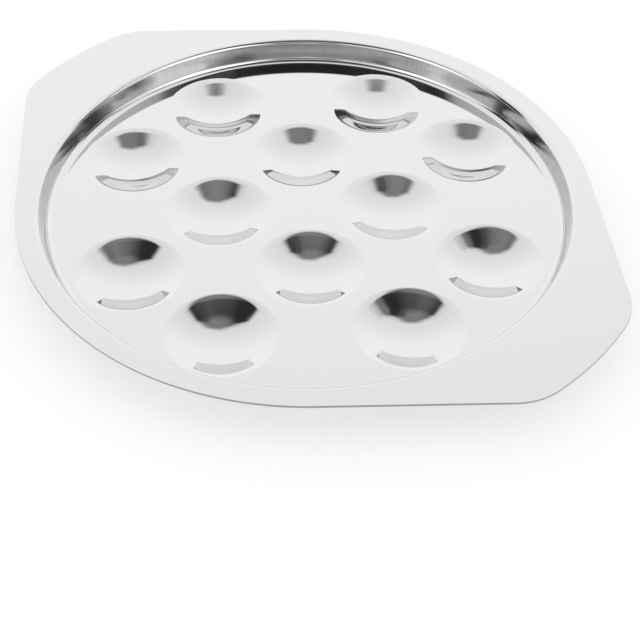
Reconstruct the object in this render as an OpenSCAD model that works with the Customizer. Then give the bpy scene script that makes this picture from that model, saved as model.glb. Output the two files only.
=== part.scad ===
// Escargot plate: one pressed steel sheet with a flat rim, two ears, a shallow well and twelve snail dimples.
// It stands on the feet of its dimples. Z = 0 is the surface it stands on, and X runs from ear to ear.

/* [Sheet] */
// Thickness of the steel sheet
sheet_t = 0.8; // [0.5:0.1:1.2]

/* [Rim and ears] */
// Width of the flat rim round the well
rim_w = 6.5; // [4:0.1:20]
// How far each ear reaches past the round rim
ear_reach = 21; // [12:0.5:28]
// Direction in which each straight side of an ear leaves the rim, measured from the ear axis
ear_side_angle = 46.5; // [43:0.5:50]
// Radius of the corners of an ear
ear_corner_r = 24; // [10:1:30]

/* [Well] */
// Diameter of the well where the flat rim ends
well_d = 192; // [186:1:230]
// Depth of the well, from the rim to the floor
well_depth = 8.3; // [6:0.1:14]
// Lean of the well's wall from upright, in degrees
wall_draft = 14.7; // [1:0.1:20]
// Radius of the lip, from the rim into the wall
lip_r = 2.1; // [1.4:0.1:3]
// Radius at the foot of the wall, from the wall into the floor
wall_foot_r = 2.7; // [1:0.1:4]

/* [Dimples] */
// Diameter of a dimple where the flat floor ends
dimple_d = 38.9; // [36:0.1:42]
// Radius at the mouth of a dimple, where the floor turns down
mouth_r = 1.5; // [1.3:0.1:3]
// Slope at which the mouth bend ends and the shoulder starts, in degrees
mouth_slope = 14; // [4:1:18]
// Radius of the rounded shoulder inside the mouth
shoulder_r = 12; // [4:0.5:14]
// Steepest slope of a dimple's side, in degrees
dimple_slope = 25; // [20:1:31]
// Inside radius of the round bottom of a dimple
bowl_r = 29.5; // [16:0.5:38]
// Diameter of the flat foot under each dimple
foot_d = 6; // [4:0.5:8]
// Flat floor left between the outer dimples and the wall
edge_gap = 1.2; // [0.1:0.1:4]

/* [Hidden] */
$fn = 128;
// Straight steps that make up each bend of a section, and each arc of an ear
arc_steps = 10;
// How far the ears start inside the rim circle, so that the two outlines cross cleanly
ear_start = 0.01;

// Round rim and the ends of the ears
well_r = well_d / 2;
rim_r = well_r + rim_w;
ear_r = rim_r + ear_reach;
corner_turn = acos((rim_r - ear_corner_r) / (ear_r - ear_corner_r));
corner_angle = ear_side_angle - corner_turn;

// Dimple section: mouth bend, shoulder, straight side and round bottom, each tangent to the next
dimple_r = dimple_d / 2;
shoulder_centre_r = dimple_r + (shoulder_r - mouth_r) * sin(mouth_slope);
shoulder_centre_drop = mouth_r + (shoulder_r - mouth_r) * cos(mouth_slope);
side_top_r = shoulder_centre_r - shoulder_r * sin(dimple_slope);
side_top_drop = shoulder_centre_drop - shoulder_r * cos(dimple_slope);
side_foot_r = bowl_r * sin(dimple_slope);
side_drop = (side_top_r - side_foot_r) * tan(dimple_slope);
dimple_depth = side_top_drop + side_drop + bowl_r * (1 - cos(dimple_slope));

// Heights: the foot is flat, cut a little into the sheet under the round bottom
under_r = bowl_r + sheet_t;
foot_cut = under_r - sqrt(pow(under_r, 2) - pow(foot_d / 2, 2));
floor_z = micron(dimple_depth + sheet_t - foot_cut);
rim_z = floor_z + well_depth;

// Wall section: it leans inwards from the lip to the foot bend
bends_r = lip_r + wall_foot_r;
wall_run = (well_depth - bends_r * (1 - sin(wall_draft))) * tan(wall_draft);
floor_r = micron(well_r - bends_r * cos(wall_draft) - wall_run);

// Dimples stand in a square grid of four rows of four that lacks its corners
grid_steps = [-1.5, -0.5, 0.5, 1.5];
grid_corner = norm([1.5, 1.5]);
grid_reach = norm([1.5, 0.5]);
dimple_pitch = micron((floor_r - edge_gap - dimple_r) / grid_reach);
dimple_places = [
    for (i = grid_steps, j = grid_steps)
        if (norm([i, j]) < grid_corner) dimple_pitch * [i, j]
];

// Length to the nearest thousandth of a millimetre, so that sections that meet share the same number
function micron(length) = round(1000 * length) / 1000;

// Point at a distance and an angle from the origin
function polar(r, a) = r * [cos(a), sin(a)];

// Points of an arc from one angle to another
function arc(centre, r, a0, a1) =
    [for (k = [0 : arc_steps]) centre + polar(r, a0 + (a1 - a0) * k / arc_steps)];

function reversed(points) = [for (k = [len(points) - 1 : -1 : 0]) points[k]];

// Points without the first, which the line before them already has
function tail(points) = [for (k = [1 : len(points) - 1]) points[k]];

// Line through the wall at a depth into the sheet, from the lip down to the floor
function wall_line(depth) = concat(
    arc([well_r, rim_z - lip_r], lip_r - depth, 90, 180 - wall_draft),
    arc([floor_r, floor_z + wall_foot_r], wall_foot_r + depth, -wall_draft, -90)
);

// Line through a dimple at a depth into the sheet, from the floor down to the middle of the bottom
function dimple_line(depth) = concat(
    arc([dimple_r, floor_z - mouth_r], mouth_r - depth, 90, 90 + mouth_slope),
    tail(arc(
        [shoulder_centre_r, floor_z - shoulder_centre_drop], shoulder_r - depth,
        90 + mouth_slope, 90 + dimple_slope
    )),
    arc([0, floor_z - dimple_depth + bowl_r], bowl_r + depth, dimple_slope - 90, -90)
);

// Outline of one ear towards +X: two straight sides, two round corners and a curved end
module ear_outline() {
    corner = polar(ear_r - ear_corner_r, corner_angle);
    side_start = polar(rim_r - ear_start, ear_side_angle);
    upper_half = concat(
        arc([0, 0], ear_r, 0, corner_angle),
        arc(corner, ear_corner_r, corner_angle, ear_side_angle),
        [side_start]
    );
    for (flip = [0, 1])
        mirror([0, flip]) polygon(concat([[0, 0]], upper_half));
}

// Flat rim with both ears
module rim() {
    translate([0, 0, rim_z - sheet_t])
        linear_extrude(height = sheet_t)
            difference() {
                union() {
                    circle(r = rim_r);
                    for (turn = [0, 180])
                        rotate(turn) ear_outline();
                }
                circle(r = well_r);
            }
}

// Lip, wall and foot bend of the well
module wall() {
    rotate_extrude()
        polygon(concat(wall_line(0), reversed(wall_line(sheet_t))));
}

// Flat floor, open where the dimples are
module floor_sheet() {
    translate([0, 0, floor_z - sheet_t])
        linear_extrude(height = sheet_t)
            difference() {
                circle(r = floor_r);
                for (place = dimple_places)
                    translate(place) circle(r = dimple_r);
            }
}

// One dimple: mouth bend, shoulder, straight side and round bottom, cut flat underneath as a foot
module dimple() {
    rotate_extrude()
        difference() {
            polygon(concat(dimple_line(0), reversed(dimple_line(sheet_t))));
            translate([0, -floor_z]) square([dimple_d, floor_z]);
        }
}

module plate() {
    color("silver") {
        rim();
        wall();
        floor_sheet();
        for (place = dimple_places)
            translate(place) dimple();
    }
}

plate();
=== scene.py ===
"""Looks of the escargot plate: polished sheet steel in a plain white studio."""
import math
from collections import namedtuple

import bmesh
import bpy
from mathutils import Matrix, Vector
from mathutils.geometry import delaunay_2d_cdt


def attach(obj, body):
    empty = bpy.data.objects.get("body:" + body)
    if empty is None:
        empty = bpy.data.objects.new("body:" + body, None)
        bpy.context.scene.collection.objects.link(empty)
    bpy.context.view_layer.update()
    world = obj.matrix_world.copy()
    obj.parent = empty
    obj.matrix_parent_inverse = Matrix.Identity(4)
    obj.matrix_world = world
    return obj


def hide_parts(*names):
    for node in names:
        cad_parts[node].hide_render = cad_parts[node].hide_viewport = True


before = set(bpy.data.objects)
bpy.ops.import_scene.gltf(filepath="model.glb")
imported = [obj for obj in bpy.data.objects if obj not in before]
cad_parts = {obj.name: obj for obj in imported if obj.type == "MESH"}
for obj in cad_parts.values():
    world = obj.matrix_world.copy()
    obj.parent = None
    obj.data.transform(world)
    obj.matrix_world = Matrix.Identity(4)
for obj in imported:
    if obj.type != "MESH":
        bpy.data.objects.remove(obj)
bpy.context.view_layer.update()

# One millimetre, in metres
MM = 0.001

# Sizes of the plate in millimetres and degrees, the same as in the part's source
SHEET_T = 0.8
RIM_W = 6.5
EAR_REACH = 21.0
EAR_SIDE_ANGLE = 46.5
EAR_CORNER_R = 24.0
WELL_D = 192.0
WELL_DEPTH = 8.3
WALL_DRAFT = 14.7
LIP_R = 2.1
WALL_FOOT_R = 2.7
DIMPLE_D = 38.9
MOUTH_R = 1.5
MOUTH_SLOPE = 14.0
SHOULDER_R = 12.0
DIMPLE_SLOPE = 25.0
BOWL_R = 29.5
FOOT_D = 6.0
EDGE_GAP = 1.2
# Radius of the cut edge's two corners, which the source leaves sharp
EDGE_R = 0.12

# Places worked out from those sizes
well_r = WELL_D / 2
rim_r = well_r + RIM_W
ear_r = rim_r + EAR_REACH
corner_turn = math.degrees(math.acos((rim_r - EAR_CORNER_R) / (ear_r - EAR_CORNER_R)))
corner_angle = EAR_SIDE_ANGLE - corner_turn
slope = math.radians(DIMPLE_SLOPE)
draft = math.radians(WALL_DRAFT)
dimple_r = DIMPLE_D / 2
mouth_slope = math.radians(MOUTH_SLOPE)
shoulder_centre_r = dimple_r + (SHOULDER_R - MOUTH_R) * math.sin(mouth_slope)
shoulder_centre_drop = MOUTH_R + (SHOULDER_R - MOUTH_R) * math.cos(mouth_slope)
side_run = shoulder_centre_r - (SHOULDER_R + BOWL_R) * math.sin(slope)
side_top_drop = shoulder_centre_drop - SHOULDER_R * math.cos(slope)
dimple_depth = side_top_drop + side_run * math.tan(slope) + BOWL_R * (1 - math.cos(slope))
under_r = BOWL_R + SHEET_T
foot_cut = under_r - math.sqrt(under_r ** 2 - (FOOT_D / 2) ** 2)
floor_z = round(dimple_depth + SHEET_T - foot_cut, 3)
rim_z = floor_z + WELL_DEPTH
bends_r = LIP_R + WALL_FOOT_R
wall_run = (WELL_DEPTH - bends_r * (1 - math.sin(draft))) * math.tan(draft)
floor_r = round(well_r - bends_r * math.cos(draft) - wall_run, 3)
# The outermost dimples stand 1.5 steps of the grid out one way and 0.5 the other, as its corners stay empty
pitch = round((floor_r - EDGE_GAP - dimple_r) / math.hypot(1.5, 0.5), 3)
GRID_STEPS = (-1.5, -0.5, 0.5, 1.5)
dimple_places = [
    (i * pitch, j * pitch) for i in GRID_STEPS for j in GRID_STEPS if abs(i) + abs(j) < 3
]

# Points round a full turn, and along each bend of a section
WALL_TURN = 480
DIMPLE_TURN = 84
BEND_STEPS = 12
MOUTH_STEPS = 6
SHOULDER_STEPS = 8
BOWL_STEPS = 16
EDGE_STEPS = 3
# Steps along half of an ear's end, along one of its corners, and along the rim up to +Y
EAR_END_STEPS = 24
EAR_CORNER_STEPS = 24
RIM_STEPS = 60
# Radius of the inner ring of a flat foot, as a share of the foot's own
FOOT_RING = 0.8
# Shares of a radius within which the middle of a triangle lies on a dimple or in the well
ON_DIMPLE = 0.9995
IN_WELL = 0.99995
# Distance at which two points of a flat face count as one
SAME_POINT = 1e-6


def arc(centre, radius, start, end, steps, facing=1):
    """Section points (radius, height, normal out, normal up) along an arc from one angle to another."""
    points = []
    for k in range(steps + 1):
        turn = math.radians(start + (end - start) * k / steps)
        out, up = math.cos(turn), math.sin(turn)
        points.append((centre[0] + radius * out, centre[1] + radius * up, facing * out, facing * up))
    return points


def wall_section(depth):
    """Lip, wall and foot bend at a depth into the sheet, from the rim down to the floor."""
    lip = arc((well_r, rim_z - LIP_R), LIP_R - depth, 90, 180 - WALL_DRAFT, BEND_STEPS)
    foot = arc((floor_r, floor_z + WALL_FOOT_R), WALL_FOOT_R + depth, -WALL_DRAFT, -90, BEND_STEPS, -1)
    return lip + foot


def dimple_section(depth):
    """Mouth bend, shoulder, side and round bottom at a depth into the sheet, without the middle point."""
    mouth = arc((dimple_r, floor_z - MOUTH_R), MOUTH_R - depth, 90, 90 + MOUTH_SLOPE, MOUTH_STEPS)
    shoulder_centre = (shoulder_centre_r, floor_z - shoulder_centre_drop)
    shoulder_turn = (90 + MOUTH_SLOPE, 90 + DIMPLE_SLOPE)
    shoulder = arc(shoulder_centre, SHOULDER_R - depth, *shoulder_turn, SHOULDER_STEPS)[1:]
    bowl_centre = (0, floor_z - dimple_depth + BOWL_R)
    if depth == 0:
        bowl = arc(bowl_centre, BOWL_R, DIMPLE_SLOPE - 90, -90, BOWL_STEPS, -1)[:-1]
        return mouth + shoulder + bowl
    foot_angle = math.degrees(math.asin(FOOT_D / 2 / (BOWL_R + depth))) - 90
    bowl = arc(bowl_centre, BOWL_R + depth, DIMPLE_SLOPE - 90, foot_angle, BOWL_STEPS, -1)
    return mouth + shoulder + bowl + [(FOOT_RING * FOOT_D / 2, 0.0, 0.0, 1.0)]


class Skin:
    """Points, normals and faces of one closed mesh, in millimetres."""

    def __init__(self):
        self.points = []
        self.normals = []
        self.faces = []

    def add(self, place, normal):
        """Adds one point and returns its number."""
        self.points.append(place)
        self.normals.append(normal)
        return len(self.points) - 1

    def ring(self, centre, section_point, count, facing):
        """One turn of points round an upright axis."""
        radius, height, out, up = section_point
        ring = []
        for k in range(count):
            turn = 2 * math.pi * k / count
            c, s = math.cos(turn), math.sin(turn)
            place = (centre[0] + radius * c, centre[1] + radius * s, height)
            ring.append(self.add(place, (facing * out * c, facing * out * s, facing * up)))
        return ring

    def strip(self, ring_a, ring_b, facing):
        """Quads between two rings of the same count; facing 1 looks up where ring_a is the outer one."""
        count = len(ring_a)
        for k in range(count):
            n = (k + 1) % count
            quad = (ring_a[k], ring_a[n], ring_b[n], ring_b[k])
            self.faces.append(quad if facing > 0 else quad[::-1])

    def fan(self, ring, height, facing):
        """Triangles from a small ring to the point at its middle."""
        places = [self.points[k] for k in ring]
        middle = (sum(p[0] for p in places) / len(ring), sum(p[1] for p in places) / len(ring), height)
        pole = self.add(middle, (0, 0, facing))
        count = len(ring)
        for k in range(count):
            face = (ring[k], ring[(k + 1) % count], pole)
            self.faces.append(face if facing > 0 else face[::-1])

    def sheet(self, outer, inner, is_open, facing):
        """Flat triangles between an outer ring and inner ones, apart from those that is_open leaves out."""
        rings = [outer] + inner
        order = [k for ring in rings for k in ring]
        places = [Vector(self.points[k][:2]) for k in order]
        edges = []
        start = 0
        for ring in rings:
            count = len(ring)
            edges += [(start + k, start + (k + 1) % count) for k in range(count)]
            start += count
        found, _, triangles, sources, _, _ = delaunay_2d_cdt(places, edges, [], 1, SAME_POINT)
        for triangle in triangles:
            middle = sum((found[k] for k in triangle), Vector((0, 0))) / 3
            if is_open(middle):
                continue
            face = tuple(order[sources[k][0]] for k in triangle)
            a, b, c = (Vector(self.points[k][:2]) for k in face)
            turns_left = (b - a).cross(c - a) > 0
            self.faces.append(face if turns_left == (facing > 0) else face[::-1])


def on_dimple(place):
    """Whether a place on the floor lies on one of the dimples."""
    return any(math.hypot(place.x - x, place.y - y) < ON_DIMPLE * dimple_r for x, y in dimple_places)


def in_well(place):
    """Whether a place at the height of the rim lies inside the lip."""
    return place.length < IN_WELL * well_r


def level_direction(angle):
    """Level unit vector at an angle in degrees from +X."""
    turn = math.radians(angle)
    return Vector((math.cos(turn), math.sin(turn)))


def ear_and_rim_outline():
    """Outline of the rim with both ears, as points and outward normals, once round from +X."""
    middle = Vector((0, 0))
    corner = (ear_r - EAR_CORNER_R) * level_direction(corner_angle)
    # Each arc's centre, radius, first and last angle, steps, and the step it starts from
    arcs = (
        (middle, ear_r, 0, corner_angle, EAR_END_STEPS, 0),
        (corner, EAR_CORNER_R, corner_angle, EAR_SIDE_ANGLE, EAR_CORNER_STEPS, 1),
        (middle, rim_r, EAR_SIDE_ANGLE, 90, RIM_STEPS, 0),
    )
    quarter = []
    for centre, radius, start, end, steps, first in arcs:
        for k in range(first, steps + 1):
            normal = level_direction(start + (end - start) * k / steps)
            quarter.append((centre + radius * normal, normal))
    half = quarter + [(Vector((-p.x, p.y)), Vector((-n.x, n.y))) for p, n in reversed(quarter[:-1])]
    return half + [(Vector((-p.x, -p.y)), Vector((-n.x, -n.y))) for p, n in half[1:-1]]


def cut_edge(skin):
    """Adds the cut edge and returns its rings, from the upper face round both corners to the underside."""
    section = []
    for k in range(EDGE_STEPS + 1):
        section.append((90 - 90 * k / EDGE_STEPS, rim_z - EDGE_R))
    for k in range(EDGE_STEPS + 1):
        section.append((-90 * k / EDGE_STEPS, rim_z - SHEET_T + EDGE_R))
    outline = ear_and_rim_outline()
    rings = []
    for turn, height in section:
        out, up = math.cos(math.radians(turn)), math.sin(math.radians(turn))
        ring = []
        for place, normal in outline:
            p = place - (1 - out) * EDGE_R * normal
            ring.append(skin.add((p.x, p.y, height + EDGE_R * up), (out * normal.x, out * normal.y, up)))
        rings.append(ring)
    for upper, lower in zip(rings, rings[1:]):
        skin.strip(lower, upper, 1)
    return rings


def add_object(name, data):
    """New object in the scene."""
    thing = bpy.data.objects.new(name, data)
    bpy.context.collection.objects.link(thing)
    return thing


def plate_mesh():
    """The whole plate as one closed mesh: upper face, underside and the cut edge between them."""
    skin = Skin()
    edge = cut_edge(skin)
    for depth, facing, outer in ((0, 1, edge[0]), (SHEET_T, -1, edge[-1])):
        wall = [skin.ring((0, 0), point, WALL_TURN, facing) for point in wall_section(depth)]
        for upper, lower in zip(wall, wall[1:]):
            skin.strip(upper, lower, facing)
        skin.sheet(outer, [wall[0]], in_well, facing)
        mouths = []
        for place in dimple_places:
            rings = [skin.ring(place, point, DIMPLE_TURN, facing) for point in dimple_section(depth)]
            for upper, lower in zip(rings, rings[1:]):
                skin.strip(upper, lower, facing)
            bottom = floor_z - dimple_depth if depth == 0 else 0
            skin.fan(rings[-1], bottom, facing)
            mouths.append(rings[0])
        skin.sheet(wall[-1], mouths, on_dimple, facing)
    mesh = bpy.data.meshes.new("pressed_sheet")
    mesh.from_pydata([tuple(MM * c for c in p) for p in skin.points], [], skin.faces)
    mesh.validate()
    for face in mesh.polygons:
        face.use_smooth = True
    mesh.normals_split_custom_set_from_vertices(skin.normals)
    return add_object("pressed_sheet", mesh)


class Shader:
    """Short calls for building a node tree."""

    def __init__(self, tree):
        self.tree = tree
        tree.nodes.clear()

    def node(self, kind, inputs=None, **settings):
        """New node with its settings, and its inputs linked or set."""
        node = self.tree.nodes.new(kind)
        for name, value in settings.items():
            setattr(node, name, value)
        for name, value in (inputs or {}).items():
            if isinstance(value, bpy.types.NodeSocket):
                self.tree.links.new(value, node.inputs[name])
            else:
                node.inputs[name].default_value = value
        return node

    def math(self, operation, a, b=0.0, clamp=False):
        """Number from one or two numbers."""
        inputs = {0: a, 1: b}
        return self.node("ShaderNodeMath", inputs, operation=operation, use_clamp=clamp).outputs[0]

    def vector(self, operation, a, b=(0, 0, 0)):
        """Vector from one or two vectors."""
        return self.node("ShaderNodeVectorMath", {0: a, 1: b}, operation=operation).outputs["Vector"]

    def measure(self, operation, a, b=(0, 0, 0)):
        """Number from one or two vectors."""
        return self.node("ShaderNodeVectorMath", {0: a, 1: b}, operation=operation).outputs["Value"]

    def ramp(self, value, low, high, to_low=0.0, to_high=1.0):
        """Smooth step from one number to another, as a value goes from low to high."""
        inputs = {"Value": value, "From Min": low, "From Max": high, "To Min": to_low, "To Max": to_high}
        return self.node("ShaderNodeMapRange", inputs, interpolation_type="SMOOTHSTEP").outputs[0]

    def mix(self, share, first, second):
        """First number where the share is 0, second where it is 1."""
        inputs = {0: share, 2: first, 3: second}
        return self.node("ShaderNodeMix", inputs, data_type="FLOAT").outputs[0]

    def noise(self, place, scale, detail):
        """Smooth noise between 0 and 1."""
        inputs = {"Vector": place, "Scale": scale, "Detail": detail}
        return self.node("ShaderNodeTexNoise", inputs).outputs[0]


def new_material(name):
    """New material, and the calls that fill it."""
    material = bpy.data.materials.new(name)
    material.use_nodes = True
    return material, Shader(material.node_tree)


# Tone of the steel, and how much darker it is painted at the cut edge and on the wall, between and on its
# marks: painted shade on the wall, and at the edge a duller cut face with painted shade
STEEL_TONE = 0.76
EDGE_DULL_AND_SHADE = 0.4
WALL_PAINTED_SHADE = (0.21, 0.27)
# Roughness of the flats by grain and of the wall by marks, what smudges and patches add, and the edge's own
FLAT_ROUGH = (0.03, 0.05)
WALL_ROUGH = (0.08, 0.12)
SMUDGE_ROUGH = 0.02
PATCH_ROUGH = 0.04
EDGE_ROUGH = 0.38
# Stretch of the grain along each axis, and scale and detail of each noise
GRAIN_STRETCH = (60, 2400, 60)
GRAIN_NOISE = (1.0, 3.0)
SMUDGE_NOISE = (35.0, 4.0)
MARKS_NOISE = (160.0, 3.0)
PATCH_NOISE = (9.0, 2.0)
# Noise values between which each effect rises
GRAIN_SPAN = (0.3, 0.7)
SMUDGE_SPAN = (0.4, 0.75)
MARKS_SPAN = (0.3, 0.7)
MARKS_TONE_SPAN = (0.4, 0.7)
PATCH_SPAN = (0.4, 0.65)
# Strength and height in metres of the bumps
GRAIN_BUMP = {"Strength": 0.02, "Distance": 0.00005}
MARKS_BUMP = {"Strength": 0.35, "Distance": 0.00001}
# Steepness (upright part of the normal) over which the wall's and the cut edge's looks fade out
WALL_FACING = (0.3, 0.5)
EDGE_FACING = (0.35, 0.85)
# Fade of the wall's look at its foot and lip, and width of the edge's band, in millimetres
FOOT_FADE = 1
LIP_FADE = 2
EDGE_BAND = 0.6


def steel_material():
    """Polished stainless sheet: near mirror, with drawing marks on the wall and a dull cut edge, both
    painted darker with painted shade.
    """
    material, s = new_material("polished_steel")
    place = s.node("ShaderNodeTexCoord").outputs["Object"]
    level_place = s.vector("MULTIPLY", place, (1, 1, 0))
    radius = s.measure("LENGTH", level_place)
    normal = s.node("ShaderNodeNewGeometry").outputs["Normal"]
    facing = s.math("ABSOLUTE", s.node("ShaderNodeSeparateXYZ", {0: normal}).outputs[2])

    # Where the wall and the cut edge are
    inside = s.ramp(radius, MM * (floor_r - FOOT_FADE), MM * (floor_r + FOOT_FADE))
    outside = s.ramp(radius, MM * (well_r - LIP_FADE), MM * well_r, 1.0, 0.0)
    steep = s.ramp(facing, *WALL_FACING, 1.0, 0.0)
    on_wall = s.math("MULTIPLY", s.math("MULTIPLY", inside, outside), steep)
    beyond = s.math("GREATER_THAN", radius, MM * (rim_r - EDGE_BAND))
    on_edge = s.math("MULTIPLY", beyond, s.ramp(facing, *EDGE_FACING, 1.0, 0.0))

    # Rolled grain of the sheet, smudges, and drawing marks that run down the wall
    grain_place = s.node("ShaderNodeMapping", {"Vector": place, "Scale": GRAIN_STRETCH}).outputs[0]
    grain = s.noise(grain_place, *GRAIN_NOISE)
    smudge = s.noise(place, *SMUDGE_NOISE)
    direction = s.vector("NORMALIZE", level_place)
    marks = s.noise(direction, *MARKS_NOISE)
    patches = s.ramp(s.noise(direction, *PATCH_NOISE), *PATCH_SPAN)

    smudge_rough = s.ramp(smudge, *SMUDGE_SPAN, 0.0, SMUDGE_ROUGH)
    flat_rough = s.math("ADD", s.ramp(grain, *GRAIN_SPAN, *FLAT_ROUGH), smudge_rough)
    patch_rough = s.math("MULTIPLY", patches, PATCH_ROUGH)
    wall_rough = s.math("ADD", s.ramp(marks, *MARKS_SPAN, *WALL_ROUGH), patch_rough)
    rough = s.mix(on_edge, s.mix(on_wall, flat_rough, wall_rough), EDGE_ROUGH)
    # Painted shade: the wall is painted darker than the steel, a little more on its drawing marks than
    # between them
    wall_painted_shade = s.ramp(marks, *MARKS_TONE_SPAN, *WALL_PAINTED_SHADE)
    # Duller cut face and painted shade: the cut edge is painted darker than the steel, standing in for the
    # shadowed floor that it mirrors
    tone = s.math("SUBTRACT", STEEL_TONE, s.math("MULTIPLY", on_edge, EDGE_DULL_AND_SHADE))
    tone = s.math("SUBTRACT", tone, s.math("MULTIPLY", on_wall, wall_painted_shade))
    colour = s.node("ShaderNodeCombineColor", {0: tone, 1: tone, 2: tone}).outputs[0]
    bump = s.node("ShaderNodeBump", {"Height": grain, **GRAIN_BUMP}).outputs[0]
    marks_height = s.math("MULTIPLY", marks, on_wall)
    bump = s.node("ShaderNodeBump", {"Height": marks_height, "Normal": bump, **MARKS_BUMP}).outputs[0]
    steel = s.node("ShaderNodeBsdfPrincipled", {
        "Base Color": colour, "Metallic": 1.0, "Roughness": rough, "Normal": bump,
    })
    s.node("ShaderNodeOutputMaterial", {"Surface": steel.outputs[0]})
    return material


# Camera of the photograph: focal length and picture in pixels, sensor in millimetres, angles in degrees
FOCAL_PX = 1384.2
PICTURE_PX = 640
SENSOR_MM = 36.0
TILT = 45.03
ROLL = 0.98
EAR_TURN = -40.83
# Way from the lens to the plate's centre, at the height of its rim: right, up and ahead in millimetres
AIM_SIDE = -4.97
AIM_UP = 46.24
AIM_DISTANCE = 493.2
# Nearest and farthest distance that the camera sees, in metres
CLIP_START = 0.01
CLIP_END = 100


def place_camera():
    """Makes the camera and returns the direction in which it looks."""
    tilt, roll = math.radians(TILT), math.radians(ROLL)
    ahead = Vector((0, math.cos(tilt), -math.sin(tilt)))
    level_right = Vector((1, 0, 0))
    level_up = Vector((0, math.sin(tilt), math.cos(tilt)))
    right = math.cos(roll) * level_right + math.sin(roll) * level_up
    up = math.cos(roll) * level_up - math.sin(roll) * level_right
    lens = -AIM_DISTANCE * ahead - AIM_SIDE * right - AIM_UP * up
    turn = Matrix.Rotation(math.radians(-EAR_TURN), 3, "Z")
    right, up, ahead, lens = turn @ right, turn @ up, turn @ ahead, turn @ lens
    lens += Vector((0, 0, rim_z))
    data = bpy.data.cameras.new("camera")
    data.sensor_fit = "HORIZONTAL"
    data.sensor_width = SENSOR_MM
    data.lens = FOCAL_PX / PICTURE_PX * SENSOR_MM
    data.clip_start = CLIP_START
    data.clip_end = CLIP_END
    camera = add_object("camera", data)
    rows = [list(row) for row in zip(right, up, -ahead)]
    camera.matrix_world = Matrix.Translation(MM * lens) @ Matrix(rows).to_4x4()
    bpy.context.scene.camera = camera
    return ahead


# What stands round the plate, as the steel mirrors it, in degrees from straight overhead: across is to the
# right and along is away from the camera. A box has a middle and a half width across, a low and a high end
# along, and half the width of each soft border. Each side of it moves out by the widening for every degree
# along. A later box covers the ones before it.
Box = namedtuple("Box", "middle half soft_side low soft_low high soft_high brightness widening")
ROUND_THE_PLATE = {
    "dark gap on the left": Box(-70, 18, 4, -1, 3, 21, 5, 0.03, 0),
    "dark gap on the right": Box(59, 22, 6, 6.5, 2, 13, 5, 0.36, 0),
    "dark end on the right": Box(74, 12, 6, 11, 7, 33, 5, 0.08, 0),
    "grey table front": Box(0, 60, 7, -110, 5, -52, 10, 0.43, 0),
    "light behind the camera": Box(0, 16, 8, -82, 3, -60, 6, 0.85, 0.2),
    "left stand": Box(-52, 11, 6, -76, 5, -45, 8, 0.18, 0),
    "right stand": Box(40, 8, 5, -78, 5, -60, 5, 0.15, 0),
    "left soft box": Box(-41, 16, 6, -47, 3, -9, 4, 1.6, 0.2),
    "right soft box": Box(38, 20, 3, -45, 3, -8, 4, 1.5, 0),
    "grey edge of the hood": Box(0, 32, 9, 0, 4, 9, 7, 0.66, 0),
    "hood over the plate": Box(-1, 31, 2.5, -28, 2, 6.5, 2.5, 0.03, 0.6),
    "chin of the hood": Box(0, 17, 9, 0, 4, 9.5, 3, 0.1, 0),
    "arm of the hood": Box(3, 11, 7, 5, 4, 13.5, 3.5, 0.24, 0),
    "grey middle of the hood": Box(-1, 12, 9, -5, 9, 8, 5, 0.26, 0),
    "lens of the camera": Box(14, 3, 2, -2, 4, 4, 3, 0.08, 0),
    "clamp beside the hood": Box(34, 6, 4, 0, 4, 8, 4, 0.2, 0),
    "light under the hood": Box(-2, 20, 6, -36, 2, -29, 2, 0.85, 0),
    "stand of the camera": Box(1, 14, 3, -53, 3, -38, 2, 0.04, 0),
}
# Brightness of the white tent near overhead and far along, and the degrees along between which it rises
NEAR_WHITE = 0.90
FAR_WHITE = 1.10
NEAR_REACH = 5.0
FAR_REACH = 60.0
# Dome that carries it all: radius in millimetres, and faces round it and from pole to pole
DOME_R = 667.0
DOME_TURN = 128
DOME_RISE = 64
# Smallest level part of a direction, so that nothing is divided by zero straight overhead
LEAST_LEVEL = 1e-6


def plain_world():
    """World: even white light."""
    world = bpy.data.worlds.new("studio")
    bpy.context.scene.world = world
    world.use_nodes = True
    s = Shader(world.node_tree)
    light = s.node("ShaderNodeBackground", {"Color": (1, 1, 1, 1), "Strength": 1.0})
    s.node("ShaderNodeOutputWorld", {"Surface": light.outputs[0]})


def soft_box(s, across, along, box):
    """Mask of a box with soft edges, on the dome."""
    off_middle = s.math("ABSOLUTE", s.math("SUBTRACT", across, box.middle))
    off_middle = s.math("SUBTRACT", off_middle, s.math("MULTIPLY", along, box.widening))
    width = s.ramp(off_middle, box.half - box.soft_side, box.half + box.soft_side, 1.0, 0.0)
    below = s.ramp(along, box.low - box.soft_low, box.low + box.soft_low)
    above = s.ramp(along, box.high - box.soft_high, box.high + box.soft_high, 1.0, 0.0)
    return s.math("MULTIPLY", width, s.math("MULTIPLY", below, above))


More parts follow.
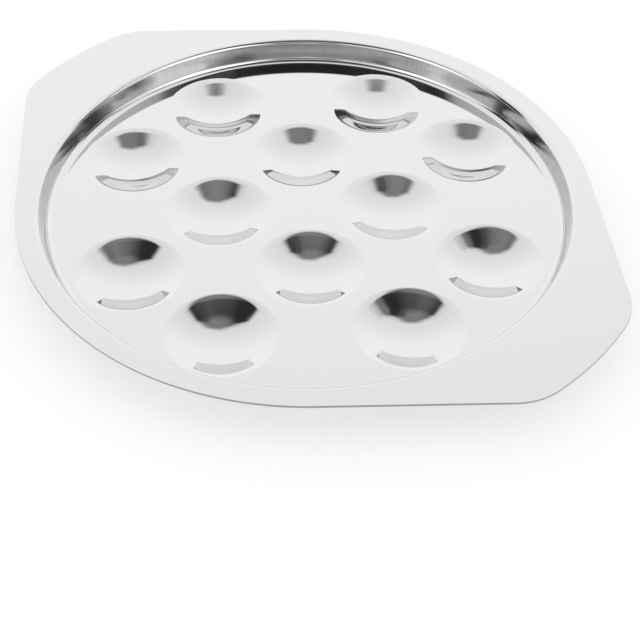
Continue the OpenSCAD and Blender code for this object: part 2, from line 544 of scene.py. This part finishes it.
def studio_light(ahead):
    """Light of the dome by direction: a white tent with its lamps, gaps and camera."""
    away = Vector((ahead.x, ahead.y, 0)).normalized()
    to_right = Vector((away.y, -away.x, 0))
    overhead = Vector((0, 0, 1))
    material, s = new_material("studio_light")
    direction = s.vector("NORMALIZE", s.node("ShaderNodeTexCoord").outputs["Object"])
    right_part, away_part, up_part = (
        s.measure("DOT_PRODUCT", direction, axis) for axis in (to_right, away, overhead)
    )
    squares = s.math("ADD", s.math("POWER", right_part, 2.0), s.math("POWER", away_part, 2.0))
    level_part = s.math("MAXIMUM", s.math("SQRT", squares), LEAST_LEVEL)
    from_overhead = s.math("MULTIPLY", s.math("ARCCOSINE", up_part), 180 / math.pi)
    spread = s.math("DIVIDE", from_overhead, level_part)
    across = s.math("MULTIPLY", spread, right_part)
    along = s.math("MULTIPLY", spread, away_part)
    level = s.ramp(along, NEAR_REACH, FAR_REACH, NEAR_WHITE, FAR_WHITE)
    for box in ROUND_THE_PLATE.values():
        level = s.mix(soft_box(s, across, along, box), level, box.brightness)
    light = s.node("ShaderNodeEmission", {"Color": (1, 1, 1, 1), "Strength": level})
    s.node("ShaderNodeOutputMaterial", {"Surface": light.outputs[0]})
    return material


def mirrored_studio(ahead):
    """Dome round the plate that only mirror rays meet."""
    mesh = bpy.data.meshes.new("studio_dome")
    shape = bmesh.new()
    bmesh.ops.create_uvsphere(shape, u_segments=DOME_TURN, v_segments=DOME_RISE, radius=MM * DOME_R)
    shape.to_mesh(mesh)
    shape.free()
    mesh.materials.append(studio_light(ahead))
    dome = add_object("studio_dome", mesh)
    dome.location.z = MM * rim_z
    dome.visible_camera = False
    dome.visible_diffuse = False
    dome.visible_transmission = False
    dome.visible_shadow = False


# Floor: half its side in metres, its grey, and what it adds to that where it is seen or mirrored
FLOOR_REACH = 4.0
FLOOR_GREY = 0.5
FLOOR_GLOW = 0.52


def white_floor():
    """Pale floor that the plate stands on: it shows white to the camera and keeps the plate's shadow."""
    mesh = bpy.data.meshes.new("studio_floor")
    r = FLOOR_REACH
    mesh.from_pydata([(-r, -r, 0), (r, -r, 0), (r, r, 0), (-r, r, 0)], [], [(0, 1, 2, 3)])
    material, s = new_material("floor_white")
    path = s.node("ShaderNodeLightPath").outputs
    seen = s.math("ADD", path["Is Camera Ray"], path["Is Glossy Ray"])
    seen = s.math("ADD", seen, path["Is Transmission Ray"], clamp=True)
    paint = s.node("ShaderNodeBsdfDiffuse", {"Color": (FLOOR_GREY, FLOOR_GREY, FLOOR_GREY, 1)})
    strength = s.math("MULTIPLY", seen, FLOOR_GLOW)
    glow = s.node("ShaderNodeEmission", {"Color": (1, 1, 1, 1), "Strength": strength})
    both = s.node("ShaderNodeAddShader", {0: paint.outputs[0], 1: glow.outputs[0]})
    s.node("ShaderNodeOutputMaterial", {"Surface": both.outputs[0]})
    mesh.materials.append(material)
    floor = add_object("studio_floor", mesh)


# Plate, in place of the plain solid
plate = plate_mesh()
plate.data.materials.append(steel_material())
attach(plate, "root")
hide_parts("plate")

# Camera and studio
looking = place_camera()
plain_world()
white_floor()
mirrored_studio(looking)
bpy.context.scene.view_settings.view_transform = "Standard"
